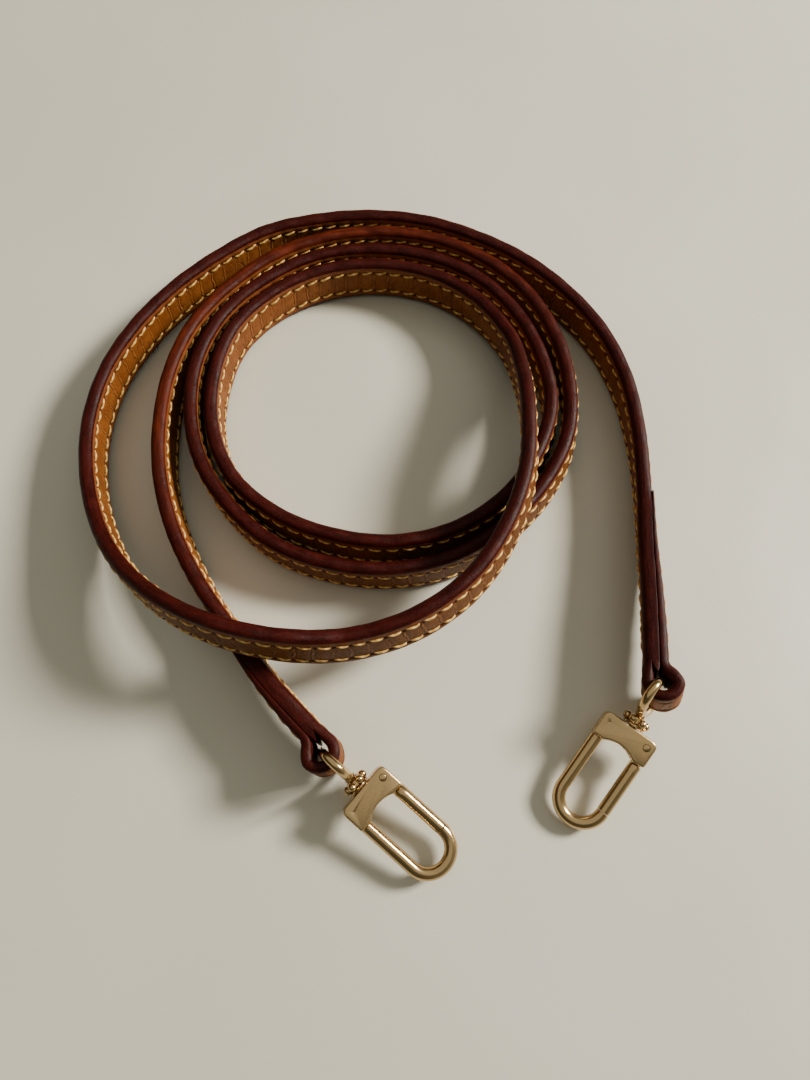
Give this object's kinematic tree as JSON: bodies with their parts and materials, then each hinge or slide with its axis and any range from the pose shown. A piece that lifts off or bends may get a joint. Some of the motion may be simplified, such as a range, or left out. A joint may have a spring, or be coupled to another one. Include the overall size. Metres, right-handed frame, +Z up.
{
  "type": "shoulder strap",
  "caption": "Narrow two-layer leather shoulder strap with edge stitching, loosely coiled on its edge, with a brass swivel snap clasp on an eye at each end.",
  "frame": {"origin": "under the middle of the coiled strap and its clasps, on the surface that they lie on", "axes": "+Z up from the surface; +Y towards the far side of the coil, along the longest extent; +X towards the right-hand side of the coil"},
  "size_m": [0.1341, 0.1608, 0.0266],
  "materials": {
    "top_leather": "golden-tan vegetable-tanned grain, slightly polished by wear, with dark oxblood painted edges",
    "lining_leather": "golden-tan vegetable-tanned leather, satin, with dark oxblood painted edges",
    "thread": "golden-yellow waxed thread",
    "brass": "polished warm gold brass",
    "spring_steel": "plain spring wire"
  },
  "bodies": {
    "strap": {"strap_top_leather": "top_leather", "strap_lining": "lining_leather", "stitching_upper_inside": "thread", "stitching_lower_inside": "thread", "stitching_upper_outside": "thread", "stitching_lower_outside": "thread"},
    "eye_assembly_right": {"eye_right": "brass", "eye_head_right": "brass"},
    "clasp_right": {"collar_right": "brass", "swivel_washer_right": "brass", "block_right": "brass", "bow_right": "brass", "gate_pin_right": "brass", "gate_spring_right": "spring_steel"},
    "gate_assembly_right": {"gate_right": "brass"},
    "eye_assembly_left": {"eye_left": "brass", "eye_head_left": "brass"},
    "clasp_left": {"collar_left": "brass", "swivel_washer_left": "brass", "block_left": "brass", "bow_left": "brass", "gate_pin_left": "brass", "gate_spring_left": "spring_steel"},
    "gate_assembly_left": {"gate_left": "brass"}
  },
  "joints": [
    {"name": "eye_swing_right", "type": "hinge", "parent": "strap", "child": "eye_assembly_right", "pos_m": [0.06126, -0.04306, 0.00987], "axis": [-0.3395, -0.016, 0.9405], "range_deg": [-25, 95]},
    {"name": "swivel_right", "type": "hinge", "parent": "eye_assembly_right", "child": "clasp_right", "pos_m": [0.05423, -0.0524, 0.00717], "axis": [-0.5864, -0.7782, -0.225], "continuous": true},
    {"name": "gate_press_right", "type": "hinge", "parent": "clasp_right", "child": "gate_assembly_right", "pos_m": [0.05757, -0.0551, 0.00714], "axis": [0.1354, 0.1797, -0.9744], "range_deg": [0, 25], "stiffness_Nm_per_rad": 0.006, "springref_deg": -11.46},
    {"name": "eye_swing_left", "type": "hinge", "parent": "strap", "child": "eye_assembly_left", "pos_m": [-0.00804, -0.05638, 0.00952], "axis": [0.1388, -0.1181, 0.9833], "range_deg": [-60, 55]},
    {"name": "swivel_left", "type": "hinge", "parent": "eye_assembly_left", "child": "clasp_left", "pos_m": [0.00093, -0.06404, 0.00733], "axis": [0.7477, -0.6386, -0.1822], "continuous": true},
    {"name": "gate_press_left", "type": "hinge", "parent": "clasp_left", "child": "gate_assembly_left", "pos_m": [0.00384, -0.06087, 0.0073], "axis": [-0.1386, 0.1184, -0.9833], "range_deg": [0, 25], "stiffness_Nm_per_rad": 0.006, "springref_deg": -11.46}
  ]
}
